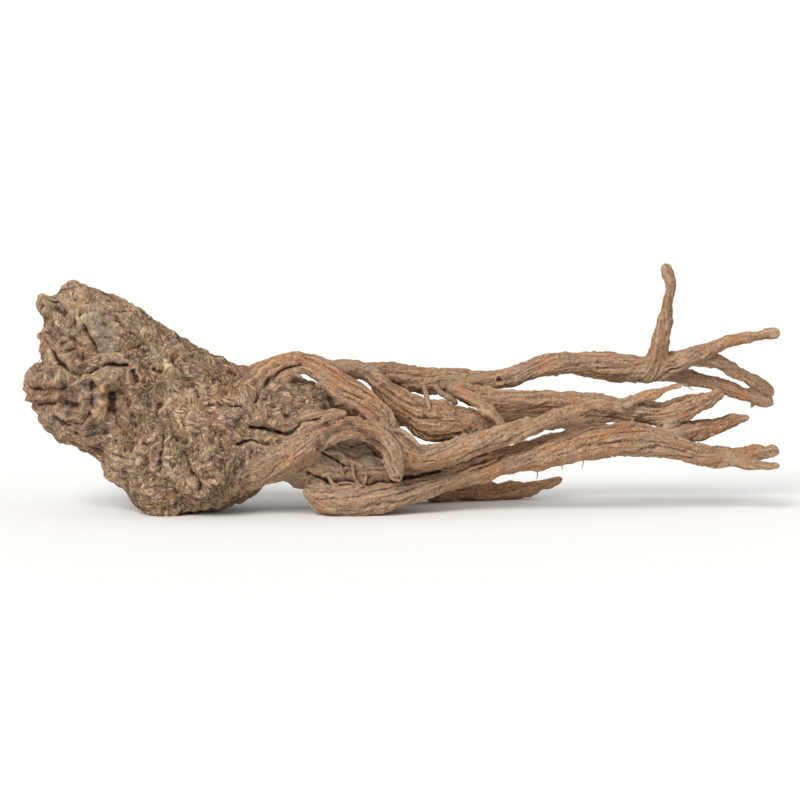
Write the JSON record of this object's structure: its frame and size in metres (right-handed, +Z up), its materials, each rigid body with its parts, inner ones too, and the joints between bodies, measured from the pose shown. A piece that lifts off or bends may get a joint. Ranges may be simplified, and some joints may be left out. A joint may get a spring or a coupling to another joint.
{
  "type": "dried astragalus root",
  "caption": "Whole dried astragalus root lying on its side, a gnarled crown with branching, wrinkled roots running from it.",
  "frame": {"origin": "on the surface that the root rests on, under the middle of its box", "axes": "+X from the crown along the root to the ends of its branches, +Z up, -Y the side seen in the picture"},
  "size_m": [0.2293, 0.0533, 0.0742],
  "materials": {
    "bark": "matte, wrinkled"
  },
  "bodies": {
    "root": {"root": "bark"}
  },
  "joints": []
}
